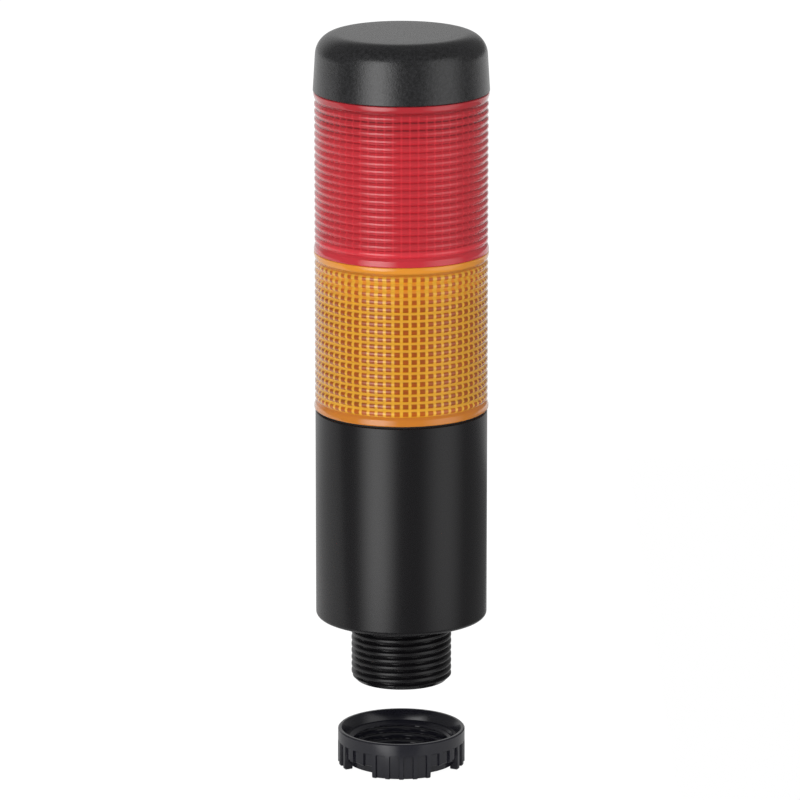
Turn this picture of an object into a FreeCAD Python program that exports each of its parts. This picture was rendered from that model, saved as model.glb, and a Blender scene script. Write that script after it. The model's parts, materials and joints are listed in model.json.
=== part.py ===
import FreeCAD, Part
import math
import os

import Sketcher
from FreeCAD import Placement, Rotation, Vector

# Compact two-tier signal tower for a 22.5 mm panel hole.
# Frame: the origin is the middle of the base's underside, which seats on the panel; +Z runs up the tower.
# The front is -Y. Sizes are in millimetres, angles in degrees.

SIZES = [
    # Base housing, with the spigot that goes through the panel
    ("base_radius", 18.75, "outer radius of the base"),
    ("base_height", 46.5, "underside of the base to its top face"),
    ("base_wall", 2.5, "wall of the base"),
    ("base_floor", 3.0, "floor of the base"),
    ("base_edge", 1.0, "rounding of the lower edge"),
    ("spigot_radius", 11.0, "M22 thread, over its crests"),
    ("spigot_length", 14.5, "underside of the base to the end of the spigot"),
    ("spigot_chamfer", 1.0, "lead-in at the end of the spigot"),
    ("spigot_wall", 3.0, "crests of the thread to the wire passage"),
    ("boss_radius", 2.4, "screw boss"),
    ("boss_height", 9.0, "floor of the base to the underside of the base board"),
    ("boss_inset", 3.75, "inside of the base's wall to the middle of a boss"),
    ("boss_count", 3, "number of bosses"),
    # Joints between the modules: a raised register goes into the socket above it
    ("collar_overhang", 0.25, "collar of a lens beyond the base's side"),
    ("lens_wall", 1.6, "wall of a lens, round its socket and behind its rings"),
    ("joint_clearance", 0.1, "radial play of what stands in a socket or a bore"),
    ("register_height", 3.0, "register above the face that the next module sits on"),
    ("register_wall", 1.3, "wall of a lens's register"),
    ("base_seal_setback", 0.35, "base's side to the outside of the seal under the first lens"),
    ("base_seal_height", 0.5, "squeezed height of that seal"),
    # Lenses
    ("tier_height", 35.0, "height of one lens between its seams"),
    ("collar_height", 1.6, "plain collar at each end of a lens"),
    ("ring_setback", 0.15, "side of a collar to the crests of the ring ridges"),
    ("ring_count", 20, "ring grooves round a lens"),
    ("ring_first", 1.92, "seam to the middle of the nearest groove"),
    ("ring_mouth", 0.8, "opening of a groove"),
    ("ring_depth", 0.45, "depth of a groove"),
    ("flute_count", 64, "vertical flutes inside a lens"),
    ("flute_depth", 0.35, "depth of a flute"),
    ("flute_width", 1.2, "opening of a flute"),
    ("shelf_thickness", 1.5, "shelf over the flutes that carries the register"),
    # Cap
    ("cap_overhang", 0.1, "foot of the cap beyond a collar"),
    ("cap_height", 12.7, "foot of the cap to its top"),
    ("cap_draft", 3.4, "lean of the cap's side"),
    ("cap_rounding", 4.8, "rounding round the top"),
    ("cap_top_wall", 2.2, "thickness of the top"),
    ("cap_shoulder", 1.0, "shoulder that presses on the top disc"),
    # Inside the lenses
    ("disc_thickness", 1.0, "guide discs"),
    ("diffuser_wall", 1.0, "wall of the diffuser sleeves"),
    ("board_thickness", 1.6, "both circuit boards"),
    ("led_board_gap", 1.9, "edge of the upright board to the diffuser sleeves"),
    ("led_board_overrun", 1.5, "upright board above the top disc"),
    ("slot_clearance", 0.15, "play of the upright board in its slots"),
    ("led_width", 3.5, "light-emitting chip, across"),
    ("led_height", 2.8, "light-emitting chip, up"),
    ("led_depth", 0.8, "light-emitting chip, off the board"),
    ("led_first", 5.0, "disc to the middle of the nearest row"),
    ("led_offset", 6.0, "middle of the board to a column"),
    ("resistor_width", 3.2, "resistor, across"),
    ("resistor_height", 1.6, "resistor, up"),
    ("resistor_depth", 0.6, "resistor, off the board"),
    ("resistor_first", 6.0, "edge connector to the first row of resistors"),
    ("resistor_pitch", 4.0, "row to row"),
    # Inside the base
    ("base_board_gap", 0.4, "edge of the base board to the wall"),
    ("connector_height", 7.0, "edge connector"),
    ("connector_depth", 6.0, "edge connector, front to back"),
    ("connector_wall", 2.0, "edge connector beyond the ends of the board"),
    ("connector_slot", 5.0, "depth of the connector's slot"),
    ("capacitor_radius", 3.5, "smoothing capacitors"),
    ("capacitor_height", 11.0, "smoothing capacitors"),
    ("capacitor_margin", 0.3, "edge of the base board to a capacitor"),
    ("capacitor_angle", 45.0, "direction of a capacitor, back from sideways"),
    ("rectifier_width", 5.0, "bridge rectifier, across"),
    ("rectifier_depth", 4.0, "bridge rectifier, front to back"),
    ("rectifier_height", 3.0, "bridge rectifier"),
    ("rectifier_gap", 1.3, "head of the rear screw to the rectifier"),
    ("driver_width", 10.0, "driver chip, across"),
    ("driver_depth", 5.0, "driver chip, front to back"),
    ("driver_height", 1.6, "driver chip"),
    ("driver_inset", 6.85, "front edge of the base board to the middle of the chip"),
    ("screw_head_radius", 2.2, "board screws"),
    ("screw_head_height", 1.5, "board screws"),
    ("screw_radius", 1.0, "shank of the board screws"),
    ("screw_length", 7.0, "under the head"),
    ("screw_bite", 0.05, "radial play of the shank in its boss"),
    ("screw_passage", 0.3, "radial play of the shank in the board"),
    ("terminal_width", 12.5, "terminal block, across"),
    ("terminal_depth", 8.0, "terminal block, front to back"),
    ("terminal_height", 7.5, "terminal block, down from the board"),
    ("terminal_pitch", 4.0, "wire entry to wire entry"),
    ("terminal_entry_radius", 1.2, "wire entry"),
    ("terminal_entry_depth", 5.5, "wire entry"),
    ("contact_side", 1.5, "square clamp contact in each entry"),
    ("contact_height", 2.0, "clamp contact"),
    # Panel seal
    ("panel_seal_width", 3.5, "recess of the panel seal, midway between spigot and side"),
    ("panel_seal_depth", 1.2, "recess of the panel seal"),
    # Fixing nut
    ("nut_wall", 3.0, "crests of the thread to the outside of the nut"),
    ("nut_drop", 11.4, "end of the spigot to the rim of the nut, taken off"),
    ("nut_height", 5.7, "rim to the face between the lugs"),
    ("nut_band", 2.8, "plain band below the rim"),
    ("nut_play", 0.1, "radial play between the plain bore and the thread's crests"),
    ("nut_rim_wall", 0.9, "outside of the nut to the mouth of the tapered recess"),
    ("nut_ledge_wall", 1.7, "outside of the nut to the foot of the tapered recess"),
    ("nut_recess", 2.2, "depth of the tapered recess"),
    ("nut_sleeve_wall", 1.1, "crests of the thread to the outside of the nut's sleeve"),
    ("nut_sleeve_rise", 0.6, "bottoms of the lugs to the end of the sleeve"),
    ("lug_count", 4, "lugs round the lower face"),
    ("lug_height", 2.35, "lugs below that face"),
    ("lug_gap", 35.0, "angle between two lugs"),
    ("grip_count", 28, "grip hollows round the nut"),
    ("grip_angle", 8.6, "angle that a grip hollow takes"),
    ("grip_depth", 0.45, "depth of a grip hollow"),
]

LED_ROWS = 5
RESISTOR_ROWS = 4
TERMINALS = 3
FULL_TURN = 360.0
LUG_AT_FRONT = 270.0
CUT_OVERRUN = "1"  # how far a cutting shape runs past the solid

doc = FreeCAD.newDocument("signal_tower")
sheet = doc.addObject("Spreadsheet::Sheet", "Sizes")
for row, (alias, number, note) in enumerate(SIZES, start=1):
    sheet.set(f"A{row}", note)
    sheet.set(f"B{row}", str(number))
    sheet.setAlias(f"B{row}", alias)
doc.recompute()

# Levels and radii that several pieces share, as expressions of the sheet's cells
BASE_BORE = "(Sizes.base_radius - Sizes.base_wall)"
WIRE_BORE = "(Sizes.spigot_radius - Sizes.spigot_wall)"
PANEL_SEAL_MIDDLE = "((Sizes.spigot_radius + Sizes.base_radius) / 2)"
PANEL_SEAL_INNER = f"({PANEL_SEAL_MIDDLE} - Sizes.panel_seal_width / 2)"
PANEL_SEAL_OUTER = f"({PANEL_SEAL_MIDDLE} + Sizes.panel_seal_width / 2)"
COLLAR_RADIUS = "(Sizes.base_radius + Sizes.collar_overhang)"
SOCKET_RADIUS = f"({COLLAR_RADIUS} - Sizes.lens_wall)"
REGISTER_RADIUS = f"({SOCKET_RADIUS} - Sizes.joint_clearance)"
REGISTER_BORE = f"({REGISTER_RADIUS} - Sizes.register_wall)"
RING_RADIUS = f"({COLLAR_RADIUS} - Sizes.ring_setback)"
RING_PITCH = "((Sizes.tier_height - 2 * Sizes.ring_first) / (Sizes.ring_count - 1))"
FLUTE_RADIUS = f"({RING_RADIUS} - Sizes.lens_wall)"
FLUTE_CREST = f"({FLUTE_RADIUS} - Sizes.flute_depth)"
CAP_RADIUS = f"({COLLAR_RADIUS} + Sizes.cap_overhang)"
SOCKET_DEPTH = "(Sizes.register_height + Sizes.disc_thickness)"
AMBER_FOOT = "(Sizes.base_height + Sizes.base_seal_height)"
RED_FOOT = f"({AMBER_FOOT} + Sizes.tier_height)"
CAP_FOOT = f"({RED_FOOT} + Sizes.tier_height)"
DIFFUSER_RADIUS = f"({REGISTER_BORE} - Sizes.joint_clearance)"
DIFFUSER_BORE = f"({DIFFUSER_RADIUS} - Sizes.diffuser_wall)"
BOSS_CIRCLE = f"({BASE_BORE} - Sizes.boss_inset)"
BOSS_TOP = "(Sizes.base_floor + Sizes.boss_height)"
BASE_BOARD_TOP = f"({BOSS_TOP} + Sizes.board_thickness)"
BASE_BOARD_RADIUS = f"({BASE_BORE} - Sizes.base_board_gap)"
LED_BOARD_WIDTH = f"(2 * ({DIFFUSER_BORE} - Sizes.led_board_gap))"
LED_BOARD_FOOT = f"({BASE_BOARD_TOP} + Sizes.connector_height - Sizes.connector_slot)"
LED_BOARD_TOP = f"({CAP_FOOT} + {SOCKET_DEPTH} + Sizes.led_board_overrun)"
BOARD_FACE = "(Sizes.board_thickness / 2)"
SLOT_WIDTH = f"({LED_BOARD_WIDTH} + 2 * Sizes.slot_clearance)"
SLOT_DEPTH = "(Sizes.board_thickness + 2 * Sizes.slot_clearance)"
CONNECTOR_WIDTH = f"({LED_BOARD_WIDTH} + 2 * Sizes.connector_wall)"
CAPACITOR_CIRCLE = f"({BASE_BOARD_RADIUS} - Sizes.capacitor_margin - Sizes.capacitor_radius)"
TERMINAL_FOOT = f"({BOSS_TOP} - Sizes.terminal_height)"
NUT_RADIUS = "(Sizes.spigot_radius + Sizes.nut_wall)"
NUT_TOTAL = "(Sizes.nut_height + Sizes.lug_height)"


def value(expression):
    """The number that an expression of the sheet's cells gives."""
    return float(sheet.evalExpression(expression))


def disc_level(module_foot):
    """Underside of the guide disc that lies in the socket of a module."""
    return f"({module_foot} + Sizes.register_height)"


def boss_angles():
    """Directions of the screw bosses, the first one straight back."""
    count = int(value("Sizes.boss_count"))
    return [90.0 + FULL_TURN * number / count for number in range(count)]


# Drawing helpers -----------------------------------------------------------------------------


def new_body(label):
    body = doc.addObject("PartDesign::Body", label)
    body.Label = label
    return body


def origin_feature(body, role):
    return next(f for f in body.Origin.OriginFeatures if f.Role == role)


def new_sketch(body, name, plane, level=None):
    """A sketch on an origin plane, raised to level along the plane's normal."""
    sketch = body.newObject("Sketcher::SketchObject", f"{body.Name}_{name}")
    sketch.AttachmentSupport = [(origin_feature(body, plane), "")]
    sketch.MapMode = "FlatFace"
    if level is not None:
        sketch.setExpression("AttachmentOffset.Base.z", level)
    return sketch


def tie(sketch, kind, geometry, point, expression):
    """Hold a point's distance from the sketch's origin, along X or Y, at an expression."""
    axis = {"DistanceX": -2, "DistanceY": -1}[kind]
    if expression == "0":
        sketch.addConstraint(Sketcher.Constraint("PointOnObject", geometry, point, axis))
        return
    number = sketch.addConstraint(
        Sketcher.Constraint(kind, -1, 1, geometry, point, value(expression))
    )
    sketch.setExpression(f"Constraints[{number}]", expression)


def draw_outline(sketch, corners):
    """A closed outline of straight lines through corners given as pairs of expressions."""
    points = [Vector(value(across), value(up), 0) for across, up in corners]
    count = len(points)
    first = sketch.GeometryCount
    for number, point in enumerate(points):
        sketch.addGeometry(Part.LineSegment(point, points[(number + 1) % count]), False)
    for number, (across, up) in enumerate(corners):
        line = first + number
        following = first + (number + 1) % count
        sketch.addConstraint(Sketcher.Constraint("Coincident", line, 2, following, 1))
        tie(sketch, "DistanceX", line, 1, across)
        tie(sketch, "DistanceY", line, 1, up)


def draw_circle(sketch, across, up, radius):
    """A circle whose centre and radius are expressions."""
    centre = Vector(value(across), value(up), 0)
    circle = sketch.addGeometry(
        Part.Circle(centre, Vector(0, 0, 1), value(radius)), False
    )
    tie(sketch, "DistanceX", circle, 3, across)
    tie(sketch, "DistanceY", circle, 3, up)
    number = sketch.addConstraint(Sketcher.Constraint("Radius", circle, value(radius)))
    sketch.setExpression(f"Constraints[{number}]", radius)


def revolve(body, corners):
    """Turn an outline of (radius, height) corners round the body's Z axis."""
    sketch = new_sketch(body, "profile", "XZ_Plane")
    draw_outline(sketch, corners)
    feature = body.newObject("PartDesign::Revolution", f"{body.Name}_turned")
    feature.Profile = sketch
    feature.ReferenceAxis = (sketch, ["V_Axis"])
    feature.Angle = FULL_TURN
    doc.recompute()
    return feature


def pad(body, sketch, length):
    feature = body.newObject("PartDesign::Pad", f"{sketch.Name}_pad")
    feature.Profile = sketch
    feature.setExpression("Length", length)
    doc.recompute()
    return feature


def pocket_up(body, sketch, length):
    """Cut upwards from the sketch, and see that the cut took something away."""
    before = body.Shape.Volume
    feature = body.newObject("PartDesign::Pocket", f"{sketch.Name}_cut")
    feature.Profile = sketch
    feature.Reversed = True
    feature.setExpression("Length", length)
    doc.recompute()
    if body.Shape.Volume >= before:
        raise RuntimeError(f"{feature.Name} cuts nothing")
    return feature


def repeat_round(body, feature, count):
    """Repeat a feature evenly round the body's Z axis."""
    pattern = body.newObject("PartDesign::PolarPattern", f"{feature.Name}_ring")
    pattern.Originals = [feature]
    pattern.Axis = (origin_feature(body, "Z_Axis"), [""])
    pattern.Angle = FULL_TURN
    pattern.setExpression("Occurrences", count)
    body.Tip = pattern
    doc.recompute()
    return pattern


def groove_round(body, sketch):
    """Cut the sketch's outline round the body's Z axis, and see that something was taken away."""
    before = body.Shape.Volume
    feature = body.newObject("PartDesign::Groove", f"{sketch.Name}_cut")
    feature.Profile = sketch
    feature.ReferenceAxis = (sketch, ["V_Axis"])
    feature.Angle = FULL_TURN
    doc.recompute()
    if body.Shape.Volume >= before:
        raise RuntimeError(f"{feature.Name} cuts nothing")
    return feature


def repeat_up(body, feature, count, pitch):
    """Repeat a feature evenly up the body's Z axis."""
    pattern = body.newObject("PartDesign::LinearPattern", f"{feature.Name}_row")
    pattern.Originals = [feature]
    pattern.Direction = (origin_feature(body, "Z_Axis"), [""])
    pattern.setExpression("Occurrences", count)
    pattern.setExpression("Length", f"({count} - 1) * {pitch}")
    body.Tip = pattern
    doc.recompute()
    return pattern


def round_edge(body, radius, level, rounding):
    """Round the circular edge that lies at a radius and a height."""
    base = body.Tip
    names = [
        f"Edge{number}"
        for number, edge in enumerate(base.Shape.Edges, start=1)
        if isinstance(edge.Curve, Part.Circle)
        and math.isclose(edge.Curve.Radius, value(radius), abs_tol=1e-4)
        and math.isclose(edge.Curve.Center.z, value(level), abs_tol=1e-4)
    ]
    feature = body.newObject("PartDesign::Fillet", f"{body.Name}_rounding")
    feature.Base = (base, names)
    feature.setExpression("Radius", rounding)
    doc.recompute()
    return feature


def place(piece, across="0", back="0", level="0"):
    """Tie a piece's place to expressions."""
    for letter, expression in (("x", across), ("y", back), ("z", level)):
        if expression != "0":
            piece.setExpression(f"Placement.Base.{letter}", expression)
    return piece


def cylinder(label, radius, height, **where):
    piece = doc.addObject("Part::Cylinder", label)
    piece.setExpression("Radius", radius)
    piece.setExpression("Height", height)
    return place(piece, **where)


def box(label, width, depth, height, across="0", back="0", level="0"):
    """A block centred on (across, back) that stands on level."""
    piece = doc.addObject("Part::Box", label)
    piece.setExpression("Length", width)
    piece.setExpression("Width", depth)
    piece.setExpression("Height", height)
    return place(
        piece,
        across=f"{across} - ({width}) / 2",
        back=f"{back} - ({depth}) / 2",
        level=level,
    )


def cut(label, base, tools):
    """The base less each of the tools."""
    for number, tool in enumerate(tools, start=1):
        piece = doc.addObject("Part::Cut", label if number == len(tools) else f"{label}_cut")
        piece.Base = base
        piece.Tool = tool
        base = piece
    return base


def group(label, pieces):
    """Separate solids that share one node."""
    compound = doc.addObject("Part::Compound", label)
    compound.Links = pieces
    return compound


def tube(label, outer, inner, height, level):
    """A plain ring or sleeve."""
    outside = cylinder(f"{label}_outside", outer, height, level=level)
    inside = cylinder(f"{label}_inside", inner, height, level=level)
    return cut(label, outside, [inside])


# Sub-parts -------------------------------------------------------------------------------------


def make_base_housing():
    """Moulded base: threaded spigot, seal recess, cup with screw bosses, and the first register."""
    body = new_body("base_housing")
    register_top = f"{AMBER_FOOT} + Sizes.register_height"
    revolve(
        body,
        [
            (WIRE_BORE, "-Sizes.spigot_length"),
            ("Sizes.spigot_radius - Sizes.spigot_chamfer", "-Sizes.spigot_length"),
            ("Sizes.spigot_radius", "Sizes.spigot_chamfer - Sizes.spigot_length"),
            ("Sizes.spigot_radius", "0"),
            (PANEL_SEAL_INNER, "0"),
            (PANEL_SEAL_INNER, "Sizes.panel_seal_depth"),
            (PANEL_SEAL_OUTER, "Sizes.panel_seal_depth"),
            (PANEL_SEAL_OUTER, "0"),
            ("Sizes.base_radius", "0"),
            ("Sizes.base_radius", "Sizes.base_height"),
            (REGISTER_RADIUS, "Sizes.base_height"),
            (REGISTER_RADIUS, register_top),
            (BASE_BORE, register_top),
            (BASE_BORE, "Sizes.base_floor"),
            (WIRE_BORE, "Sizes.base_floor"),
        ],
    )
    round_edge(body, "Sizes.base_radius", "0", "Sizes.base_edge")
    sketch = new_sketch(body, "boss", "XY_Plane", "Sizes.base_floor")
    draw_circle(sketch, "0", BOSS_CIRCLE, "Sizes.boss_radius")
    draw_circle(sketch, "0", BOSS_CIRCLE, "Sizes.screw_radius + Sizes.screw_bite")
    boss = pad(body, sketch, "Sizes.boss_height")
    repeat_round(body, boss, "Sizes.boss_count")
    return body


def make_lens(label, foot):
    """Clear coloured tier: collars, ring zone, socket, flutes inside, and the next register."""
    body = new_body(label)
    place(body, level=foot)
    zone_top = "Sizes.tier_height - Sizes.collar_height"
    shelf = "Sizes.tier_height - Sizes.shelf_thickness"
    register_top = "Sizes.tier_height + Sizes.register_height"
    revolve(
        body,
        [
            (SOCKET_RADIUS, "0"),
            (COLLAR_RADIUS, "0"),
            (COLLAR_RADIUS, "Sizes.collar_height"),
            (RING_RADIUS, "Sizes.collar_height"),
            (RING_RADIUS, zone_top),
            (COLLAR_RADIUS, zone_top),
            (COLLAR_RADIUS, "Sizes.tier_height"),
            (REGISTER_RADIUS, "Sizes.tier_height"),
            (REGISTER_RADIUS, register_top),
            (REGISTER_BORE, register_top),
            (REGISTER_BORE, shelf),
            (FLUTE_CREST, shelf),
            (FLUTE_CREST, SOCKET_DEPTH),
            (SOCKET_RADIUS, SOCKET_DEPTH),
        ],
    )
    ring_sketch = new_sketch(body, "ring", "XZ_Plane")
    # The flanks run on past the crests, so that the cut leaves no skin
    draw_outline(
        ring_sketch,
        [
            (f"{RING_RADIUS} - Sizes.ring_depth", "Sizes.ring_first"),
            (f"{RING_RADIUS} + Sizes.ring_depth", "Sizes.ring_first + Sizes.ring_mouth"),
            (f"{RING_RADIUS} + Sizes.ring_depth", "Sizes.ring_first - Sizes.ring_mouth"),
        ],
    )
    ring = groove_round(body, ring_sketch)
    repeat_up(body, ring, "Sizes.ring_count", RING_PITCH)
    sketch = new_sketch(body, "flute", "XY_Plane", SOCKET_DEPTH)
    opening = f"{FLUTE_RADIUS} - 2 * Sizes.flute_depth"
    draw_outline(
        sketch,
        [
            (FLUTE_RADIUS, "0"),
            (opening, "Sizes.flute_width"),
            (opening, "-Sizes.flute_width"),
        ],
    )
    flute = pocket_up(body, sketch, f"{shelf} - {SOCKET_DEPTH}")
    repeat_round(body, flute, "Sizes.flute_count")
    return body


def make_cap():
    """Moulded cap with leaning side, well-rounded top and a socket for the last register."""
    body = new_body("cap")
    place(body, level=CAP_FOOT)
    top_radius = f"{CAP_RADIUS} - Sizes.cap_height * tan(Sizes.cap_draft)"
    ceiling = "Sizes.cap_height - Sizes.cap_top_wall"
    cavity = f"{SOCKET_RADIUS} - Sizes.cap_shoulder"
    revolve(
        body,
        [
            (SOCKET_RADIUS, "0"),
            (CAP_RADIUS, "0"),
            (top_radius, "Sizes.cap_height"),
            ("0", "Sizes.cap_height"),
            ("0", ceiling),
            (cavity, ceiling),
            (cavity, SOCKET_DEPTH),
            (SOCKET_RADIUS, SOCKET_DEPTH),
        ],
    )
    round_edge(body, top_radius, "Sizes.cap_height", "Sizes.cap_rounding")
    return body


def make_guide_disc(label, module_foot):
    """Disc that parts two light chambers and holds the upright board in its slot."""
    body = new_body(label)
    place(body, level=disc_level(module_foot))
    sketch = new_sketch(body, "disc", "XY_Plane")
    draw_circle(sketch, "0", "0", REGISTER_RADIUS)
    half_width = f"{SLOT_WIDTH} / 2"
    half_depth = f"{SLOT_DEPTH} / 2"
    draw_outline(
        sketch,
        [
            (f"-{half_width}", f"-{half_depth}"),
            (half_width, f"-{half_depth}"),
            (half_width, half_depth),
            (f"-{half_width}", half_depth),
        ],
    )
    pad(body, sketch, "Sizes.disc_thickness")
    return body


def make_diffuser(label, module_foot):
    """Milky sleeve between two guide discs."""
    level = f"{module_foot} + {SOCKET_DEPTH}"
    height = "Sizes.tier_height - Sizes.disc_thickness"
    return tube(label, DIFFUSER_RADIUS, DIFFUSER_BORE, height, level)


def make_base_seal():
    """Flat ring squeezed between the base and the first lens."""
    inner = f"{REGISTER_RADIUS} + Sizes.joint_clearance"
    outer = "Sizes.base_radius - Sizes.base_seal_setback"
    return tube("base_seal", outer, inner, "Sizes.base_seal_height", "Sizes.base_height")


def make_panel_seal():
    """Flat ring that lies flush in the recess under the base."""
    return tube(
        "panel_seal",
        f"{PANEL_SEAL_OUTER} - Sizes.joint_clearance",
        f"{PANEL_SEAL_INNER} + Sizes.joint_clearance",
        "Sizes.panel_seal_depth",
        "0",
    )


def make_led_board():
    """Upright board from the edge connector to the top disc."""
    return box(
        "led_board",
        LED_BOARD_WIDTH,
        "Sizes.board_thickness",
        f"{LED_BOARD_TOP} - {LED_BOARD_FOOT}",
        level=LED_BOARD_FOOT,
    )


def chips_on_board(label, rows, sides, width, height, depth, first, pitch):
    """Two columns of chips that sit on the upright board; sides are -1 for front and 1 for back."""
    chips = []
    for side in sides:
        for column in (-1, 1):
            for row in range(rows):
                middle = f"{side} * ({BOARD_FACE} + {depth} / 2)"
                chips.append(
                    box(
                        f"{label}_chip",
                        width,
                        depth,
                        height,
                        across=f"{column} * Sizes.led_offset",
                        back=middle,
                        level=f"{first} + {row} * {pitch} - {height} / 2",
                    )
                )
    return group(label, chips)


def make_leds(label, module_foot):
    """The light-emitting chips of one tier, front and back."""
    chamber = "(Sizes.tier_height - Sizes.disc_thickness)"
    return chips_on_board(
        label,
        LED_ROWS,
        (-1, 1),
        "Sizes.led_width",
        "Sizes.led_height",
        "Sizes.led_depth",
        f"{module_foot} + {SOCKET_DEPTH} + Sizes.led_first",
        f"({chamber} - 2 * Sizes.led_first) / {LED_ROWS - 1}",
    )


def make_led_resistors():
    """Series resistors on the part of the upright board that stands in the base."""
    return chips_on_board(
        "led_resistors",
        RESISTOR_ROWS,
        (-1,),
        "Sizes.resistor_width",
        "Sizes.resistor_height",
        "Sizes.resistor_depth",
        f"{BASE_BOARD_TOP} + Sizes.connector_height + Sizes.resistor_first",
        "Sizes.resistor_pitch",
    )


def boss_place(angle):
    """Where the boss at an angle stands."""
    return {
        "across": f"{BOSS_CIRCLE} * cos({angle})",
        "back": f"{BOSS_CIRCLE} * sin({angle})",
    }


def make_base_board():
    """Round board on the bosses, with a hole over each."""
    plate = cylinder("base_board_plate", BASE_BOARD_RADIUS, "Sizes.board_thickness", level=BOSS_TOP)
    passage = "Sizes.screw_radius + Sizes.screw_passage"
    holes = [
        cylinder("screw_hole", passage, "Sizes.board_thickness", level=BOSS_TOP, **boss_place(angle))
        for angle in boss_angles()
    ]
    return cut("base_board", plate, holes)


def make_board_screws():
    """One screw into each boss."""
    screws = []
    for angle in boss_angles():
        where = boss_place(angle)
        screw = doc.addObject("Part::Fuse", "board_screw")
        screw.Base = cylinder(
            "screw_head", "Sizes.screw_head_radius", "Sizes.screw_head_height",
            level=BASE_BOARD_TOP, **where,
        )
        screw.Tool = cylinder(
            "screw_shank", "Sizes.screw_radius", "Sizes.screw_length",
            level=f"{BASE_BOARD_TOP} - Sizes.screw_length", **where,
        )
        screws.append(screw)
    return group("board_screws", screws)


def make_edge_connector():
    """Connector on the base board that the upright board plugs into."""
    block = box(
        "edge_connector_block", CONNECTOR_WIDTH, "Sizes.connector_depth", "Sizes.connector_height",
        level=BASE_BOARD_TOP,
    )
    slot = box(
        "edge_connector_slot", SLOT_WIDTH, SLOT_DEPTH, f"Sizes.connector_slot + {CUT_OVERRUN}",
        level=LED_BOARD_FOOT,
    )
    return cut("edge_connector", block, [slot])


def make_capacitors():
    """Two standing smoothing capacitors."""
    cans = [
        cylinder(
            "capacitor", "Sizes.capacitor_radius", "Sizes.capacitor_height",
            across=f"{side} * {CAPACITOR_CIRCLE} * cos(Sizes.capacitor_angle)",
            back=f"{CAPACITOR_CIRCLE} * sin(Sizes.capacitor_angle)",
            level=BASE_BOARD_TOP,
        )
        for side in (-1, 1)
    ]
    return group("capacitors", cans)


def make_rectifier():
    screw_front = f"{BOSS_CIRCLE} - Sizes.screw_head_radius"
    return box(
        "rectifier", "Sizes.rectifier_width", "Sizes.rectifier_depth", "Sizes.rectifier_height",
        back=f"{screw_front} - Sizes.rectifier_gap - Sizes.rectifier_depth / 2",
        level=BASE_BOARD_TOP,
    )


def make_driver_chip():
    return box(
        "driver_chip", "Sizes.driver_width", "Sizes.driver_depth", "Sizes.driver_height",
        back=f"Sizes.driver_inset - {BASE_BOARD_RADIUS}", level=BASE_BOARD_TOP,
    )


def terminal_places():
    """Sideways places of the wire entries."""
    return [f"{number - (TERMINALS - 1) / 2} * Sizes.terminal_pitch" for number in range(TERMINALS)]


def make_terminal_block():
    """Clamp terminals under the base board, with their wire entries over the wire passage."""
    block = box(
        "terminal_block_body", "Sizes.terminal_width", "Sizes.terminal_depth",
        "Sizes.terminal_height", level=TERMINAL_FOOT,
    )
    entries = [
        cylinder(
            "wire_entry", "Sizes.terminal_entry_radius", "Sizes.terminal_entry_depth",
            across=across, level=TERMINAL_FOOT,
        )
        for across in terminal_places()
    ]
    return cut("terminal_block", block, entries)


def make_terminal_contacts():
    """One square clamp contact at the end of each wire entry."""
    level = f"{TERMINAL_FOOT} + Sizes.terminal_entry_depth - Sizes.contact_height"
    contacts = [
        box(
            "contact", "Sizes.contact_side", "Sizes.contact_side", "Sizes.contact_height",
            across=across, level=level,
        )
        for across in terminal_places()
    ]
    return group("terminal_contacts", contacts)


def make_fixing_nut():
    """Round nut: plain band, grip hollows below it, tapered recess above, and lugs round its sleeve."""
    body = new_body("fixing_nut")
    bore = "Sizes.spigot_radius + Sizes.nut_play"
    sleeve = "(Sizes.spigot_radius + Sizes.nut_sleeve_wall)"
    revolve(
        body,
        [
            (bore, "Sizes.nut_sleeve_rise"),
            (sleeve, "Sizes.nut_sleeve_rise"),
            (sleeve, "0"),
            (NUT_RADIUS, "0"),
            (NUT_RADIUS, NUT_TOTAL),
            (f"{NUT_RADIUS} - Sizes.nut_rim_wall", NUT_TOTAL),
            (f"{NUT_RADIUS} - Sizes.nut_ledge_wall", f"{NUT_TOTAL} - Sizes.nut_recess"),
            (bore, f"{NUT_TOTAL} - Sizes.nut_recess"),
        ],
    )
    reach = f"({NUT_RADIUS} + {CUT_OVERRUN})"
    inner_half = f"{sleeve} * tan(Sizes.lug_gap / 2)"
    outer_half = f"{reach} * tan(Sizes.lug_gap / 2)"
    gap_sketch = new_sketch(body, "gap", "XY_Plane")
    draw_outline(
        gap_sketch,
        [
            (sleeve, f"-{inner_half}"),
            (reach, f"-{outer_half}"),
            (reach, outer_half),
            (sleeve, inner_half),
        ],
    )
    gap = pocket_up(body, gap_sketch, "Sizes.lug_height")
    repeat_round(body, gap, "Sizes.lug_count")
    floor = f"({NUT_RADIUS} - Sizes.grip_depth)"
    half_width = f"{floor} * tan(Sizes.grip_angle / 2)"
    grip_sketch = new_sketch(body, "grip", "XY_Plane")
    draw_outline(
        grip_sketch,
        [
            (floor, f"-{half_width}"),
            (reach, f"-{half_width}"),
            (reach, half_width),
            (floor, half_width),
        ],
    )
    grip = pocket_up(body, grip_sketch, f"{NUT_TOTAL} - Sizes.nut_band")
    repeat_round(body, grip, "Sizes.grip_count")
    # Half a lug's turn from a gap brings a lug round; this turn brings the nearest one to the front
    step = FULL_TURN / value("Sizes.lug_count")
    lug_turn = (LUG_AT_FRONT - step / 2) % step
    body.Placement = Placement(Vector(0, 0, 0), Rotation(Vector(0, 0, 1), lug_turn))
    return place(body, level=f"-Sizes.spigot_length - Sizes.nut_drop - {NUT_TOTAL}")


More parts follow.
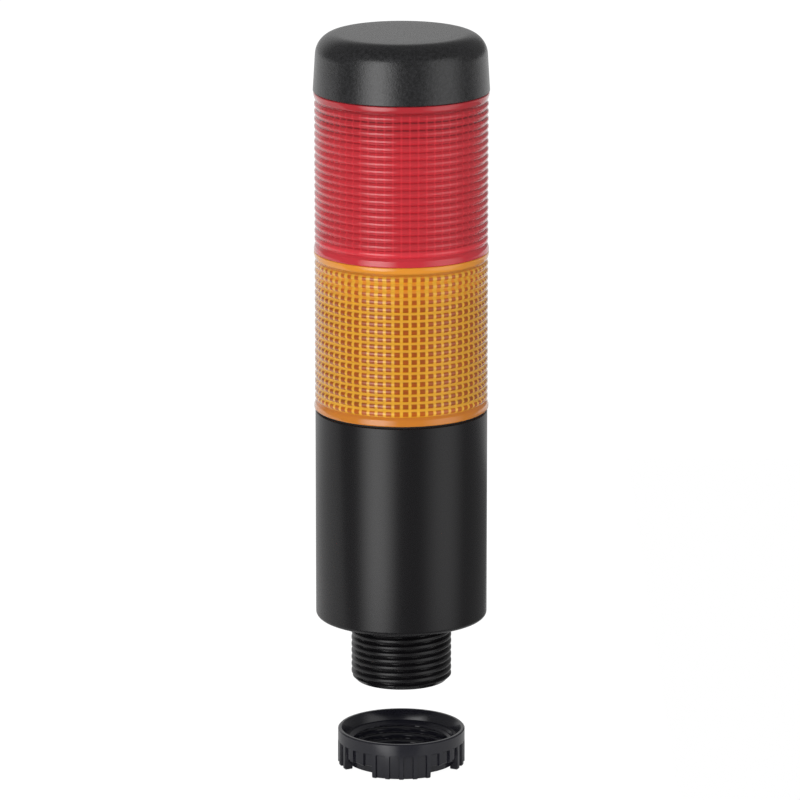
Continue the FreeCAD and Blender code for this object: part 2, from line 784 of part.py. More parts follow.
sub_parts = [
    make_base_housing(),
    make_panel_seal(),
    make_base_seal(),
    make_lens("lens_amber", AMBER_FOOT),
    make_lens("lens_red", RED_FOOT),
    make_cap(),
    make_guide_disc("guide_disc_lower", AMBER_FOOT),
    make_guide_disc("guide_disc_middle", RED_FOOT),
    make_guide_disc("guide_disc_top", CAP_FOOT),
    make_diffuser("diffuser_amber", AMBER_FOOT),
    make_diffuser("diffuser_red", RED_FOOT),
    make_led_board(),
    make_leds("leds_amber", AMBER_FOOT),
    make_leds("leds_red", RED_FOOT),
    make_led_resistors(),
    make_base_board(),
    make_board_screws(),
    make_edge_connector(),
    make_capacitors(),
    make_rectifier(),
    make_driver_chip(),
    make_terminal_block(),
    make_terminal_contacts(),
    make_fixing_nut(),
]
doc.recompute()

for item in doc.Objects:
    if "Invalid" in item.State or "Error" in item.State:
        raise RuntimeError(f"{item.Label} did not compute: {item.State}")

for sub_part in sub_parts:
    shape = sub_part.Shape
    if shape.isNull() or not shape.isValid():
        raise RuntimeError(f"{sub_part.Label} has no valid solid")

os.makedirs("parts", exist_ok=True)
for sub_part in sub_parts:
    sub_part.Shape.exportStep(os.path.join("parts", f"{sub_part.Label}.step"))
    print(f"{sub_part.Label}: {len(sub_part.Shape.Solids)} solid(s), {sub_part.Shape.Volume:.1f} mm3")
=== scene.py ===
import json
import math

import bmesh
import bpy
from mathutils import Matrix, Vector


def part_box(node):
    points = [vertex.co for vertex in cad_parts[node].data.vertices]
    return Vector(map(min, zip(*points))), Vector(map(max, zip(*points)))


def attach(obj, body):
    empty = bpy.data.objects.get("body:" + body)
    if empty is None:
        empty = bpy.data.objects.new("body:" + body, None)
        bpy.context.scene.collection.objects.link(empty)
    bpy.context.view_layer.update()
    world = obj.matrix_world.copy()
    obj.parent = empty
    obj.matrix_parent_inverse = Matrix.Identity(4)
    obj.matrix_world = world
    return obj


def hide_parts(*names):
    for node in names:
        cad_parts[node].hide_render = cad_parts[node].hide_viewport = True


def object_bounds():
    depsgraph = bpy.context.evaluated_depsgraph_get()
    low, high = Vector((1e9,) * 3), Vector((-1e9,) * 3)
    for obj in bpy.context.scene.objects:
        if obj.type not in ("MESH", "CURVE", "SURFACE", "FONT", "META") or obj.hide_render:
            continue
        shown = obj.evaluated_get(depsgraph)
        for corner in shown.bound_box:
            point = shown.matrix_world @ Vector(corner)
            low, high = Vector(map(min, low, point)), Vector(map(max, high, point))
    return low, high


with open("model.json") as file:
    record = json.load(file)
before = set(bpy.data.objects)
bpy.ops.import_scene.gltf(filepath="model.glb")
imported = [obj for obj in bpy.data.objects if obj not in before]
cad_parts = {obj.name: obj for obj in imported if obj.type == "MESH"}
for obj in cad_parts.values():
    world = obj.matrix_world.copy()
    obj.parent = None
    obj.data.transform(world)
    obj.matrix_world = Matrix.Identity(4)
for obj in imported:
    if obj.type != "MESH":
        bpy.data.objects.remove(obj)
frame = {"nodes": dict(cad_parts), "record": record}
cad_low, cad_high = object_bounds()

# Two-tier signal tower. All lengths are in metres and in the row frame: +Z runs up the tower and -Y is
# the front.

MM = 0.001
TURN = 2 * math.pi
FRONT = -TURN / 4

# Sizes that the boxes of the CAD nodes don't give

# Lenses, and the joints between the modules
EDGE_ROUNDING = 0.25 * MM
LENS_WALL = 1.6 * MM
SOCKET_DEPTH = 4.0 * MM  # takes the register of the module below, and a guide disc
SHELF = 1.5 * MM
JOINT_PLAY = 0.1 * MM
REGISTER_WALL = 1.3 * MM
COLLAR_PLAIN = 0.7 * MM  # straight part of a collar, before it runs into the ridges
RING_SETBACK = 0.15 * MM
RING_COUNT = 20
RING_FIRST = 1.92 * MM
RING_DEPTH = 0.45 * MM
RING_NARROWING = 1.6  # above 1, the grooves are narrower than the ridges
RING_SAMPLES = 8
FLUTES = 64
FLUTE_DEPTH = 0.35 * MM
FLUTE_SAMPLES = 6

# Cap
CAP_DRAFT = math.radians(3.4)
CAP_ROUNDING = 4.8 * MM
CAP_ROUNDING_STEPS = 14
CAP_TOP_WALL = 2.2 * MM
CAP_SHOULDER = 1.0 * MM
CAP_SIDES = 192

# Base, and the thread on its spigot
BASE_WALL = 2.5 * MM
BASE_FLOOR = 3.0 * MM
BASE_EDGE = 1.0 * MM
BASE_EDGE_STEPS = 6
BASE_SIDES = 180
SEAL_WIDTH = 3.5 * MM
SPIGOT_CHAMFER = 1.0 * MM
SPIGOT_WALL = 3.0 * MM
SPIGOT_ROWS = 118
THREAD_RADIUS = 11.0 * MM
THREAD_PITCH = 1.5 * MM
THREAD_DEPTH = 0.65 * MM
THREAD_CROWN = 0.08 * MM  # how much rounder than flat the crests are
THREAD_GROOVE = 0.32  # half the groove's mouth, as a share of the pitch
THREAD_PLAY = 0.12 * MM

# Fixing nut
NUT_BAND = 2.8 * MM
NUT_EDGE = 0.25 * MM
NUT_RIM_WALL = 0.9 * MM
NUT_RIM_EDGE = 0.15 * MM
NUT_LEDGE_WALL = 1.7 * MM
NUT_RECESS = 2.2 * MM
NUT_SLEEVE_WALL = 1.1 * MM
NUT_SLEEVE_RISE = 0.6 * MM
NUT_SMALL_STEP = 0.1 * MM
NUT_THREAD_DEPTH = 0.70 * MM
NUT_THREAD_MOUTH = 0.5 * MM  # inner edge of the ledge, out from the spigot's crests
NUT_THREAD_START = 0.45 * MM  # ledge to the first turn of the thread
NUT_THREAD_LEAD = 0.4 * MM  # height of the thread's crests at its ends, in from the spigot's crests
NUT_ROWS = 44
LUGS = 4
LUG_HEIGHT = 2.35 * MM
LUG_GAP = math.radians(35)
GRIPS = 28
GRIP_ANGLE = math.radians(8.6)
GRIP_DEPTH = 0.45 * MM
GRIP_SAMPLES = (-0.45, -0.27, -0.09, 0.09, 0.27)  # across a hollow, as shares of its angle
STEP_ANGLE = math.radians(0.5)  # angle that a hollow's or a gap's side takes


def foot(node):
    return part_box(node)[0].z


def head(node):
    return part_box(node)[1].z


def outside(node):
    """Outer radius of a round node."""
    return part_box(node)[1].x


def ring_pitch(low, seam):
    """Groove to groove on a lens that stands on low and ends at seam."""
    return (seam - low - 2 * RING_FIRST) / (RING_COUNT - 1)


# Meshes --------------------------------------------------------------------------------------


def even_angles(count):
    return [TURN * number / count for number in range(count)]


def turned(name, section, angles, sharp=35):
    """A closed round solid; section(angle) gives its outline there, as (radius, height) points."""
    vertices = []
    faces = []
    for angle in angles:
        outline = section(angle)
        vertices += [(r * math.cos(angle), r * math.sin(angle), z) for r, z in outline]
    size = len(outline)
    total = len(angles)
    for number in range(total):
        here = number * size
        there = (number + 1) % total * size
        for point in range(size):
            after = (point + 1) % size
            faces.append((here + point, there + point, there + after, here + after))
    mesh = bpy.data.meshes.new(name)
    mesh.from_pydata(vertices, [], faces)
    work = bmesh.new()
    work.from_mesh(mesh)
    bmesh.ops.remove_doubles(work, verts=work.verts, dist=0.0001 * MM)
    bmesh.ops.recalc_face_normals(work, faces=work.faces)
    work.to_mesh(mesh)
    work.free()
    mesh.shade_smooth()
    mesh.set_sharp_from_angle(angle=math.radians(sharp))
    piece = bpy.data.objects.new(name, mesh)
    bpy.context.scene.collection.objects.link(piece)
    return piece


def rounded(corner_r, corner_z, towards_r, towards_z, radius, steps=4):
    """Points of a quarter round at an outline's corner.

    towards_r and towards_z are 1 or -1 and say which way the round's centre lies from the corner. The
    points run from the side at towards_r to the side at towards_z."""
    centre_r = corner_r + towards_r * radius
    centre_z = corner_z + towards_z * radius
    points = []
    for step in range(steps + 1):
        turn = TURN / 4 * step / steps
        points.append(
            (centre_r - towards_r * radius * math.sin(turn), centre_z - towards_z * radius * math.cos(turn))
        )
    return points


def lens_section(node, seam):
    """Outline of a lens: ring ridges outside, flutes inside, and the register on top."""
    low = foot(node)
    top = head(node)
    collar = outside(node)
    ring = collar - RING_SETBACK
    socket = collar - LENS_WALL
    register = socket - JOINT_PLAY
    bore = register - REGISTER_WALL
    flute = ring - LENS_WALL
    pitch = ring_pitch(low, seam)
    outer = [(socket, low)]
    outer += rounded(collar, low, -1, 1, EDGE_ROUNDING)
    outer.append((collar, low + COLLAR_PLAIN))
    for number in range(RING_COUNT * RING_SAMPLES + 1):
        ridge = number / RING_SAMPLES
        notch = (0.5 - 0.5 * math.cos(TURN * ridge)) ** RING_NARROWING
        outer.append((ring - RING_DEPTH * notch, low + RING_FIRST + (ridge - 0.5) * pitch))
    outer.append((collar, seam - COLLAR_PLAIN))
    outer += reversed(rounded(collar, seam, -1, -1, EDGE_ROUNDING))
    outer += [(register, seam), (register, top), (bore, top), (bore, seam - SHELF)]

    def section(angle):
        wave = abs((angle * FLUTES / TURN) % 1 - 0.5) * 2
        inner = flute - FLUTE_DEPTH * wave
        return outer + [
            (inner, seam - SHELF),
            (inner, low + SOCKET_DEPTH),
            (socket, low + SOCKET_DEPTH),
        ]

    return section


def make_lens(node, seam):
    """A lens from its foot up to seam, where the next module sits on it."""
    section = lens_section(node, seam)
    piece = turned(f"{node}_clear", section, even_angles(FLUTES * FLUTE_SAMPLES), sharp=50)
    return finished(piece, "tower", node)


def make_cap():
    """The cap, with its side drawn in towards the well-rounded top."""
    low = foot("cap")
    top = head("cap")
    radius = outside("cap")
    socket = outside("lens_red") - LENS_WALL
    cavity = socket - CAP_SHOULDER
    ceiling = top - CAP_TOP_WALL
    lean = math.tan(CAP_DRAFT)
    # The round at the top touches the leaning side and the flat top
    centre_z = top - CAP_ROUNDING
    side = radius - (centre_z + CAP_ROUNDING * math.sin(CAP_DRAFT) - low) * lean
    centre_r = side - CAP_ROUNDING * math.cos(CAP_DRAFT)
    outline = [(socket, low), (radius - EDGE_ROUNDING, low), (radius, low + EDGE_ROUNDING)]
    for step in range(CAP_ROUNDING_STEPS + 1):
        turn = CAP_DRAFT + (TURN / 4 - CAP_DRAFT) * step / CAP_ROUNDING_STEPS
        outline.append((centre_r + CAP_ROUNDING * math.cos(turn), centre_z + CAP_ROUNDING * math.sin(turn)))
    outline += [(centre_r * share, top) for share in (0.75, 0.5, 0.25, 0)]
    outline += [(0, ceiling), (cavity, ceiling), (cavity, low + SOCKET_DEPTH)]
    outline.append((socket, low + SOCKET_DEPTH))
    piece = turned("cap_grained", lambda angle: outline, even_angles(CAP_SIDES))
    return finished(piece, "tower", "cap")


def thread_radius(angle, height, depth):
    """Radius of the right-hand thread's surface, measured on from the base's underside."""
    phase = (height / THREAD_PITCH - angle / TURN) % 1
    groove = max(0.0, 1 - abs(phase - 0.5) / THREAD_GROOVE)
    crest = THREAD_CROWN * (1 - math.cos(TURN * phase)) / 2
    return THREAD_RADIUS - crest - (depth - THREAD_CROWN) * groove * groove * (3 - 2 * groove)


def make_base():
    """Base housing: cup with its register, and the threaded spigot."""
    radius = outside("base_housing")
    end = foot("base_housing")
    top = head("base_housing")
    shoulder = foot("base_seal")
    bore = radius - BASE_WALL
    register = outside("lens_amber") - LENS_WALL - JOINT_PLAY
    passage = THREAD_RADIUS - SPIGOT_WALL
    seal_top = head("panel_seal")
    seal_inner = (THREAD_RADIUS + radius - SEAL_WIDTH) / 2
    seal_outer = seal_inner + SEAL_WIDTH
    body = [(seal_inner, 0), (seal_inner, seal_top), (seal_outer, seal_top), (seal_outer, 0)]
    body += rounded(radius, 0, -1, 1, BASE_EDGE, steps=BASE_EDGE_STEPS)
    body += reversed(rounded(radius, shoulder, -1, -1, EDGE_ROUNDING))
    body += [(register, shoulder), (register, top), (bore, top), (bore, BASE_FLOOR), (passage, BASE_FLOOR)]

    def section(angle):
        spigot = [(passage, end)]
        for row in range(SPIGOT_ROWS + 1):
            height = end * (1 - row / SPIGOT_ROWS)
            chamfer = THREAD_RADIUS - SPIGOT_CHAMFER + (height - end)
            spigot.append((min(thread_radius(angle, height, THREAD_DEPTH), chamfer), height))
        return spigot + body

    piece = turned("base_threaded", section, even_angles(BASE_SIDES), sharp=40)
    return finished(piece, "tower", "base_housing")


def stepped(angle, centre, width):
    """1 within half of width of centre and 0 beyond it, over a slope as wide as STEP_ANGLE."""
    away = abs((angle - centre + TURN / 2) % TURN - TURN / 2)
    return min(1.0, max(0.0, (width / 2 - away) / STEP_ANGLE + 0.5))


def step_angles(centre, width):
    """Both ends of the two slopes that stepped gives."""
    sides = (-width / 2, width / 2)
    return [centre + side + slope for side in sides for slope in (-STEP_ANGLE / 2, STEP_ANGLE / 2)]


def nut_thread(angle, low, high):
    """Points up the nut's thread, whose crests fade out at both ends."""
    points = []
    for row in range(NUT_ROWS + 1):
        height = low + (high - low) * row / NUT_ROWS
        lead = THREAD_RADIUS - NUT_THREAD_LEAD + max(low - height, height - high)
        thread = thread_radius(angle, height, NUT_THREAD_DEPTH) + THREAD_PLAY
        points.append((max(thread, lead), height))
    return points


def make_nut():
    """Round nut: plain band, grip hollows, lugs underneath, steep recess with its ledge, and the thread."""
    rim = head("fixing_nut")
    bottom = foot("fixing_nut")
    radius = outside("fixing_nut")
    band_end = rim - NUT_BAND
    mouth = radius - NUT_RIM_WALL
    ledge = rim - NUT_RECESS
    ledge_radius = radius - NUT_LEDGE_WALL
    sleeve = THREAD_RADIUS + NUT_SLEEVE_WALL
    sleeve_end = bottom + NUT_SLEEVE_RISE
    thread_top = ledge - NUT_THREAD_START

    lug_step = TURN / LUGS
    gaps = [FRONT + lug_step * (number + 0.5) for number in range(LUGS)]
    grip_step = TURN / GRIPS
    grips = [gaps[0] + grip_step * number for number in range(GRIPS)]
    angles = []
    for centre in grips:
        angles += [centre + GRIP_ANGLE * share for share in GRIP_SAMPLES]
        angles += step_angles(centre, GRIP_ANGLE)
        angles.append(centre + grip_step / 2)
    for centre in gaps:
        angles += step_angles(centre, LUG_GAP)

    def section(angle):
        hollow = max(stepped(angle, centre, GRIP_ANGLE) for centre in grips)
        gap = max(stepped(angle, centre, LUG_GAP) for centre in gaps)
        low = bottom + LUG_HEIGHT * gap
        side = radius - GRIP_DEPTH * hollow
        points = [(mouth + NUT_RIM_EDGE, rim), (radius - NUT_EDGE, rim), (radius, rim - NUT_EDGE)]
        points += [(radius, band_end + NUT_SMALL_STEP), (radius - NUT_SMALL_STEP * hollow, band_end)]
        points += [(side, band_end), (side, low + NUT_EDGE), (side - NUT_EDGE, low)]
        points += [(sleeve + NUT_SMALL_STEP, low), (sleeve, low + NUT_SMALL_STEP * (1 - gap))]
        points.append((sleeve, sleeve_end))
        points += nut_thread(angle, sleeve_end, thread_top)
        points += [(THREAD_RADIUS + NUT_THREAD_MOUTH, ledge), (ledge_radius, ledge)]
        points.append((mouth, rim - NUT_RIM_EDGE))
        return points

    angles = sorted({round(angle % TURN, 6) for angle in angles})
    piece = turned("fixing_nut_threaded", section, angles, sharp=25)
    return finished(piece, "nut", "fixing_nut")


def finished(piece, body, node):
    """Let a piece stand for a CAD node and move with its body."""
    slot = next(s["material_slot"] for s in frame["record"]["subparts"] if s["node"] == node)
    piece.data.materials.append(MATERIALS[slot])
    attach(piece, body)
    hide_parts(node)
    return piece


# Node graphs ---------------------------------------------------------------------------------


class Graph:
    """Short names for making the nodes of a material or of the world."""

    def __init__(self, owner):
        self.nodes = owner.node_tree.nodes
        self.links = owner.node_tree.links

    def link(self, source, target):
        self.links.new(source, target)

    def place(self):
        """Object coordinates, in metres in the row frame."""
        return self.nodes.new("ShaderNodeTexCoord").outputs["Object"]

    def axes(self, vector):
        """The x, y and z of a vector."""
        node = self.nodes.new("ShaderNodeSeparateXYZ")
        self.link(vector, node.inputs[0])
        return tuple(node.outputs)

    def math(self, operation, first, second=None):
        node = self.nodes.new("ShaderNodeMath")
        node.operation = operation
        for socket, value in zip(node.inputs, (first, second)):
            if value is None:
                continue
            if isinstance(value, (int, float)):
                socket.default_value = value
            else:
                self.link(value, socket)
        return node.outputs[0]

    def product(self, first, *others):
        for other in others:
            first = self.math("MULTIPLY", first, other)
        return first

    def noise(self, grain):
        """Noise with features about as wide as grain."""
        node = self.nodes.new("ShaderNodeTexNoise")
        node.inputs["Scale"].default_value = 1 / grain
        node.inputs["Detail"].default_value = 3.0
        node.inputs["Roughness"].default_value = 0.6
        self.link(self.place(), node.inputs["Vector"])
        return node.outputs["Fac"]

    def spread(self, value, low, high, to_low, to_high, smooth=False):
        """Take low to high over to to_low to to_high, and hold the ends."""
        node = self.nodes.new("ShaderNodeMapRange")
        if smooth:
            node.interpolation_type = "SMOOTHSTEP"
        for key, number in (("From Min", low), ("From Max", high), ("To Min", to_low), ("To Max", to_high)):
            node.inputs[key].default_value = number
        self.link(value, node.inputs["Value"])
        return node.outputs["Result"]

    def blend(self, share, first, second):
        """Mix of two colours."""
        node = self.nodes.new("ShaderNodeMix")
        node.data_type = "RGBA"
        self.link(share, node.inputs["Factor"])
        for key, value in (("A", first), ("B", second)):
            socket = next(s for s in node.inputs if s.name == key and s.type == "RGBA")
            if isinstance(value, tuple):
                socket.default_value = (*value, 1)
            else:
                self.link(value, socket)
        return next(s for s in node.outputs if s.type == "RGBA")

    def bump(self, height, distance):
        """A normal for a surface whose height varies by distance."""
        node = self.nodes.new("ShaderNodeBump")
        node.inputs["Strength"].default_value = 1.0
        node.inputs["Distance"].default_value = distance
        self.link(height, node.inputs["Height"])
        return node.outputs["Normal"]


# Materials -----------------------------------------------------------------------------------


def new_material(name, colour, roughness, **inputs):
    """A material and its shader; each further input is named after its socket."""
    material = bpy.data.materials.new(name)
    material.use_nodes = True
    shader = material.node_tree.nodes["Principled BSDF"]
    shader.inputs["Base Color"].default_value = (*colour, 1)
    shader.inputs["Roughness"].default_value = roughness
    for key, number in inputs.items():
        shader.inputs[key.replace("_", " ").title().replace("Ior", "IOR")].default_value = number
    return material, shader


# Solid plastics and metals: base colour, roughness, width and height of the surface grain in
# millimetres, and what else differs from a plain plastic. Speckle is how much the colour varies.
MOULDED_LOOKS = {
    "cap_black": ((0.006, 0.006, 0.007), 0.26, 0.38, 0.036, {"speckle": 0.8, "specular_ior_level": 0.8}),
    "base_black": ((0.0050, 0.0045, 0.0056), 0.27, 0.3, 0.0008, {}),
    "nut_black": ((0.012, 0.012, 0.018), 0.20, 1.2, 0.0006, {"specular_ior_level": 0.62}),
    "seal_rubber": ((0.006, 0.006, 0.006), 0.7, 0.3, 0.01, {}),
    "white_plastic": ((0.8, 0.8, 0.78), 0.5, 0.4, 0.004, {}),
    "milky_plastic": ((0.85, 0.84, 0.8), 0.45, 0.5, 0.004, {}),
    "board_white": ((0.75, 0.76, 0.72), 0.4, 0.5, 0.004, {}),
    "board_green": ((0.02, 0.16, 0.06), 0.35, 0.5, 0.004, {}),
    "led_red": ((0.7, 0.65, 0.6), 0.3, 0.3, 0.002, {}),
    "led_amber": ((0.75, 0.6, 0.2), 0.3, 0.3, 0.002, {}),
    "chip_black": ((0.015, 0.015, 0.016), 0.55, 0.2, 0.006, {}),
    "can_aluminium": ((0.7, 0.7, 0.72), 0.3, 0.3, 0.002, {"metallic": 1.0}),
    "connector_grey": ((0.12, 0.12, 0.13), 0.45, 0.3, 0.004, {}),
    "terminal_green": ((0.03, 0.25, 0.09), 0.4, 0.3, 0.004, {}),
    "contact_brass": ((0.7, 0.5, 0.2), 0.3, 0.2, 0.002, {"metallic": 1.0}),
    "screw_steel": ((0.6, 0.6, 0.6), 0.3, 0.2, 0.002, {"metallic": 1.0}),
}


def moulded(name, colour, roughness, grain, depth, speckle=0.0, **inputs):
    """Moulded plastic or plain metal: grain is the width of its surface texture and depth its height."""
    material, shader = new_material(name, colour, roughness, **inputs)
    graph = Graph(material)
    texture = graph.noise(grain)
    graph.link(graph.bump(texture, depth), shader.inputs["Normal"])
    uneven = graph.spread(texture, 0.3, 0.7, roughness * 0.92, roughness * 1.1)
    graph.link(uneven, shader.inputs["Roughness"])
    light = tuple(min(1.0, part * (1 + speckle) + speckle * 0.01) for part in colour)
    dark = tuple(part * (1 - 0.3 * min(1.0, speckle + 0.2)) for part in colour)
    patches = graph.spread(graph.noise(grain * 1.7), 0.35, 0.65, 0, 1)
    graph.link(graph.blend(patches, dark, light), shader.inputs["Base Color"])
    return material


# Lens plastics. Painted into the ridged wall's colour is a grid of cells between lines, one along each ring
# groove and one
# along each flute: painted shade and light for what the clear wall refracts, painted shade on the red's
# lines, and on the amber painted shade in the cells and painted light on the lines. The crown is its upper
# part, where this painted shading
# changes with height: the cells darken in the red and pale in the amber, the lines differ, and the top
# collar is painted darker in the red and lighter in the amber. Line widths are shares of the spacing, and
# clearness is the share of light that passes through.
LENS_LOOKS = {
    "lens_red": {
        "foot": (0.80, 0.036, 0.056),
        "collar": (0.56, 0.024, 0.036),
        "cell": (0.96, 0.046, 0.070),
        "crown_cell": (0.88, 0.038, 0.058),
        "ring_line": (0.50, 0.016, 0.028),
        "crown_ring_line": (0.26, 0.009, 0.016),
        "flute_line": (0.92, 0.042, 0.064),
        "flute_line_strength": 0.40,
        "line_width": 0.11,
        "crown_line_width": 0.12,
        "clearness": 0.50,
    },
    "lens_amber": {
        "foot": (0.84, 0.28, 0.022),
        "collar": (1.0, 0.38, 0.030),
        "cell": (0.68, 0.150, 0.004),
        "crown_cell": (0.86, 0.19, 0.010),
        "ring_line": (1.0, 0.51, 0.040),
        "crown_ring_line": (1.0, 0.36, 0.026),
        "flute_line": (1.0, 0.54, 0.040),
        "flute_line_strength": 1.0,
        "line_width": 0.18,
        "crown_line_width": 0.25,
        "clearness": 0.55,
    },
}
CROWN_START = 10 * MM  # below the seam, where the painted shading starts to change with height
CROWN_END = 4.5 * MM
LINE_CORE = 0.6  # a line is full to here and gone at its edge, as shares of its width
LINE_EDGE = 1.4
LINE_CLEARNESS = 0.45  # of a line, as a share of a cell's
SKIN_DEPTH = 0.2 * MM  # the lines are drawn this far below the bottoms of the grooves
SKIN_FADE = 0.1 * MM
COLLAR_FADE = 0.3 * MM
FOOT_CLEARNESS = 0.30  # where the socket hides the register below
FOOT_FADE = 1.0 * MM
SEAM_CLEARNESS = 0.4  # next to the seam, as a share of the rest
SEAM_FADE_START = 1.6 * MM
SEAM_FADE_END = 1.2 * MM


def lines(graph, count, width, strength):
    """strength where count passes a whole number, 0 between; width is a share of the spacing."""
    part = graph.math("FRACT", count)
    off_middle = graph.math("ABSOLUTE", graph.math("SUBTRACT", part, 0.5))
    away = graph.math("DIVIDE", graph.math("SUBTRACT", 0.5, off_middle), width)
    return graph.spread(away, LINE_EDGE, LINE_CORE, 0, strength, smooth=True)


def ridged_skin(graph, x, y, z, low, seam, ring):
    """1 on the outer skin of a lens between its collars, and 0 elsewhere."""
    radius = graph.math("SQRT", graph.math("ADD", graph.product(x, x), graph.product(y, y)))
    skin = ring - RING_DEPTH - SKIN_DEPTH
    outer = graph.spread(radius, skin - SKIN_FADE, skin, 0, 1)
    above = graph.spread(z, low + RING_FIRST, low + RING_FIRST + COLLAR_FADE, 0, 1)
    below = graph.spread(z, seam - RING_FIRST - COLLAR_FADE, seam - RING_FIRST, 1, 0)
    return graph.product(outer, above, below)


def lens_plastic(node, seam, look):
    """Clear coloured plastic; outside, a grid of lines around cells along its grooves and flutes is painted
    into its colour, as painted shade and light.
    """
    low = foot(node)
    gloss = {"ior": 1.49, "coat_weight": 0.9, "coat_roughness": 0.10}
    material, shader = new_material(node, look["foot"], 0.09, **gloss)
    graph = Graph(material)
    x, y, z = graph.axes(graph.place())
    crown = graph.spread(z, seam - CROWN_START, seam - CROWN_END, 0, 1, smooth=True)
    width = graph.spread(crown, 0, 1, look["line_width"], look["crown_line_width"])
    column = graph.math("MULTIPLY", graph.math("ARCTAN2", y, x), FLUTES / TURN)
    row = graph.math("DIVIDE", graph.math("SUBTRACT", z, low + RING_FIRST), ring_pitch(low, seam))
    flute_lines = lines(graph, column, width, look["flute_line_strength"])
    ring_lines = lines(graph, row, width, 1)
    ridged = ridged_skin(graph, x, y, z, low, seam, outside(node) - RING_SETBACK)

    # Painted shading by height: towards the top the collar, cells and ring lines blend to darker or lighter
    # colours.
    collars = graph.blend(crown, look["foot"], look["collar"])
    cells = graph.blend(crown, look["cell"], look["crown_cell"])
    rings = graph.blend(crown, look["ring_line"], look["crown_ring_line"])
    # Painted shade and light: the cells, ring lines and flute lines on the ridged skin.
    shade = graph.blend(ridged, collars, cells)
    shade = graph.blend(graph.product(ridged, ring_lines), shade, rings)
    shade = graph.blend(graph.product(ridged, flute_lines), shade, look["flute_line"])
    graph.link(shade, shader.inputs["Base Color"])

    socket_top = low + SOCKET_DEPTH
    clear_foot = graph.spread(z, socket_top - FOOT_FADE, socket_top, FOOT_CLEARNESS, look["clearness"])
    clear_head = graph.spread(z, seam - SEAM_FADE_START, seam - SEAM_FADE_END, 1, SEAM_CLEARNESS)
    grid = graph.product(ridged, graph.math("MAXIMUM", flute_lines, ring_lines))
    clear_grid = graph.spread(grid, 0, 1, 1, LINE_CLEARNESS)
    graph.link(graph.product(clear_foot, clear_head, clear_grid), shader.inputs["Transmission Weight"])
    return material


def make_materials():
    """One material for each slot."""
    materials = {}
    for slot, (colour, roughness, grain, depth, extras) in MOULDED_LOOKS.items():
        materials[slot] = moulded(slot, colour, roughness, grain * MM, depth * MM, **extras)
    for slot, above in (("lens_red", "cap"), ("lens_amber", "lens_red")):
        materials[slot] = lens_plastic(slot, foot(above), LENS_LOOKS[slot])
    return materials


def dress_cad_nodes(replaced):
    """Every CAD node that stays gets its slot's material."""
    for row in frame["record"]["subparts"]:
        if row["node"] in replaced:
            continue
        node = frame["nodes"][row["node"]]
        node.data.materials.clear()
        node.data.materials.append(MATERIALS[row["material_slot"]])


# Studio --------------------------------------------------------------------------------------

BACKDROP_TURN = math.radians(16)  # to the left of straight back
BACKDROP_RAMP = (0.74, 0.96)  # cosines off that direction, where the white starts and where it is full
FILL_LEVEL = 0.60
ROOM_SHADE = 0.41  # taken off everywhere in gloss, so that the room in front looks dim

FLOOR_LEFT, FLOOR_RIGHT = -3.0, 3.0
FLOOR_FRONT, FLOOR_BACK = -0.03, 5.0
FLOOR_NEAR_RIGHT = 0.06  # right edge beside the tower
FLOOR_STEP = 0.27  # where the floor widens to the right
FLOOR_DROP = 0.0002
FLOOR_GLOW = 1.2
FLOOR_GLOW_SHARE = 0.8
FLOOR_RAMP = (0.20, 0.50)  # metres back, where the glow starts in gloss and where it is full
FLOOR_GLOSS = 0.50  # the full glow in gloss, as a share of what the camera sees

LAMP_DISTANCE = 0.60
LAMP_LOW, LAMP_HIGH = -0.30, 0.45
LAMP_LAYERS = (0.5, 0.75, 1.0, 1.25, 1.5)
LAYER_STEP = 2 * MM

CAMERA_DISTANCE = 1.271
CAMERA_ELEVATION = math.radians(13.86)
CAMERA_AIM = Vector((-0.0003, 0, 0.0484))
CAMERA_LENS = 262.3  # millimetres, for a 36 mm sensor


def seen_share(graph, gloss):
    """1 for camera and transmission rays, the value of gloss for glossy rays, and 0 for the rest."""
    path = graph.nodes.new("ShaderNodeLightPath").outputs
    straight = graph.math("MAXIMUM", path["Is Camera Ray"], path["Is Transmission Ray"])
    glossy = graph.math("MULTIPLY", path["Is Glossy Ray"], gloss)
    return graph.math("MAXIMUM", straight, glossy)


def backward_ramp(graph, vector, ramp, most=1.0):
    """0 towards the front and most towards the back, for a position or a direction."""
    start, end = ramp
    backward = graph.nodes.new("ShaderNodeVectorMath")
    backward.operation = "DOT_PRODUCT"
    backward.inputs[1].default_value = (-math.sin(BACKDROP_TURN), math.cos(BACKDROP_TURN), 0)
    graph.link(vector, backward.inputs[0])
    return graph.spread(backward.outputs["Value"], start, end, 0, most, smooth=True)


def make_world():
    """White behind the object, a dim room in front of it, and an even fill light."""
    world = bpy.data.worlds.new("studio")
    world.use_nodes = True
    graph = Graph(world)
    background = graph.nodes["Background"]
    background.inputs["Color"].default_value = (1, 1, 1, 1)
    direction = graph.nodes.new("ShaderNodeTexCoord").outputs["Generated"]
    seen = seen_share(graph, backward_ramp(graph, direction, BACKDROP_RAMP))
    level = graph.spread(seen, 0, 1, FILL_LEVEL, 1)
    glossy = graph.nodes.new("ShaderNodeLightPath").outputs["Is Glossy Ray"]
    strength = graph.math("SUBTRACT", level, graph.math("MULTIPLY", glossy, ROOM_SHADE))
    graph.link(strength, background.inputs["Strength"])
    bpy.context.scene.world = world


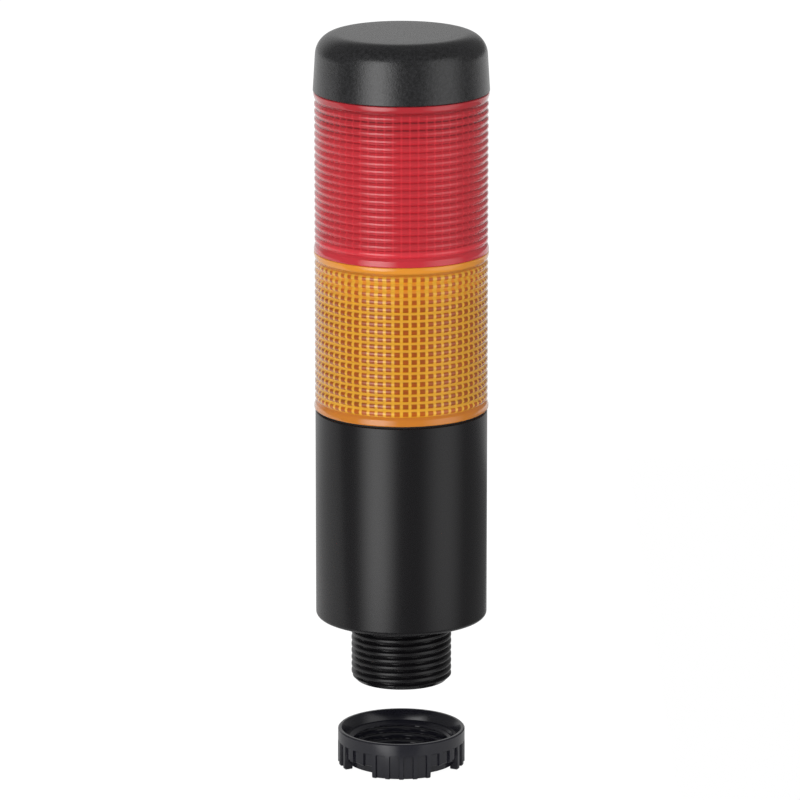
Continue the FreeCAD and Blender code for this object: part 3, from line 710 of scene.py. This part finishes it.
def make_floor():
    """Pale floor just under the nut, white to the camera but for the soft shadow."""
    corners = [
        (FLOOR_LEFT, FLOOR_FRONT),
        (FLOOR_NEAR_RIGHT, FLOOR_FRONT),
        (FLOOR_NEAR_RIGHT, FLOOR_STEP),
        (FLOOR_RIGHT, FLOOR_STEP),
        (FLOOR_RIGHT, FLOOR_BACK),
        (FLOOR_LEFT, FLOOR_BACK),
    ]
    level = cad_low.z - FLOOR_DROP
    mesh = bpy.data.meshes.new("floor")
    mesh.from_pydata([(x, y, level) for x, y in corners], [], [tuple(range(len(corners)))])
    floor = bpy.data.objects.new("floor", mesh)
    bpy.context.scene.collection.objects.link(floor)
    material, shader = new_material("floor_white", (0.85, 0.85, 0.85), 0.9, specular_ior_level=0.0)
    graph = Graph(material)
    glow = graph.nodes.new("ShaderNodeEmission")
    glow.inputs["Strength"].default_value = FLOOR_GLOW
    position = graph.nodes.new("ShaderNodeNewGeometry").outputs["Position"]
    seen = seen_share(graph, backward_ramp(graph, position, FLOOR_RAMP, most=FLOOR_GLOSS))
    mix = graph.nodes.new("ShaderNodeMixShader")
    graph.link(graph.math("MULTIPLY", seen, FLOOR_GLOW_SHARE), mix.inputs["Fac"])
    graph.link(shader.outputs[0], mix.inputs[1])
    graph.link(glow.outputs[0], mix.inputs[2])
    graph.link(mix.outputs[0], graph.nodes["Material Output"].inputs["Surface"])
    mesh.materials.append(material)


def softbox(name, bearing, width, radiance):
    """Upright lamp in nested layers, which give it soft sides.

    The bearing is in degrees round the tower, 0 at the camera and + to its right."""
    turn = math.radians(bearing)
    tall = LAMP_HIGH - LAMP_LOW
    for number, share in enumerate(LAMP_LAYERS):
        lamp = bpy.data.lights.new(f"{name}_{number}", "AREA")
        lamp.shape = "RECTANGLE"
        lamp.size = width * share
        lamp.size_y = tall
        lamp.energy = radiance / len(LAMP_LAYERS) * math.pi * width * share * tall
        away = LAMP_DISTANCE + number * LAYER_STEP
        holder = bpy.data.objects.new(f"{name}_{number}", lamp)
        holder.location = (away * math.sin(turn), -away * math.cos(turn), (LAMP_LOW + LAMP_HIGH) / 2)
        holder.rotation_euler = (TURN / 4, 0, turn)
        holder.visible_camera = False
        bpy.context.scene.collection.objects.link(holder)


def make_camera():
    camera = bpy.data.cameras.new("camera")
    camera.lens = CAMERA_LENS
    camera.sensor_width = 36
    camera.clip_start = 0.05
    camera.clip_end = 50
    back = Vector((0, -math.cos(CAMERA_ELEVATION), math.sin(CAMERA_ELEVATION)))
    holder = bpy.data.objects.new("camera", camera)
    holder.location = CAMERA_AIM + CAMERA_DISTANCE * back
    holder.rotation_euler = (TURN / 4 - CAMERA_ELEVATION, 0, 0)
    bpy.context.scene.collection.objects.link(holder)
    bpy.context.scene.camera = holder


make_camera()
make_world()
make_floor()
softbox("key_left", bearing=-32, width=0.39, radiance=2.25)
softbox("fill_right", bearing=58, width=0.46, radiance=0.75)
bpy.context.scene.view_settings.view_transform = "Standard"

MATERIALS = make_materials()
make_lens("lens_amber", foot("lens_red"))
make_lens("lens_red", foot("cap"))
make_cap()
make_base()
make_nut()
dress_cad_nodes({"lens_amber", "lens_red", "cap", "base_housing", "fixing_nut"})
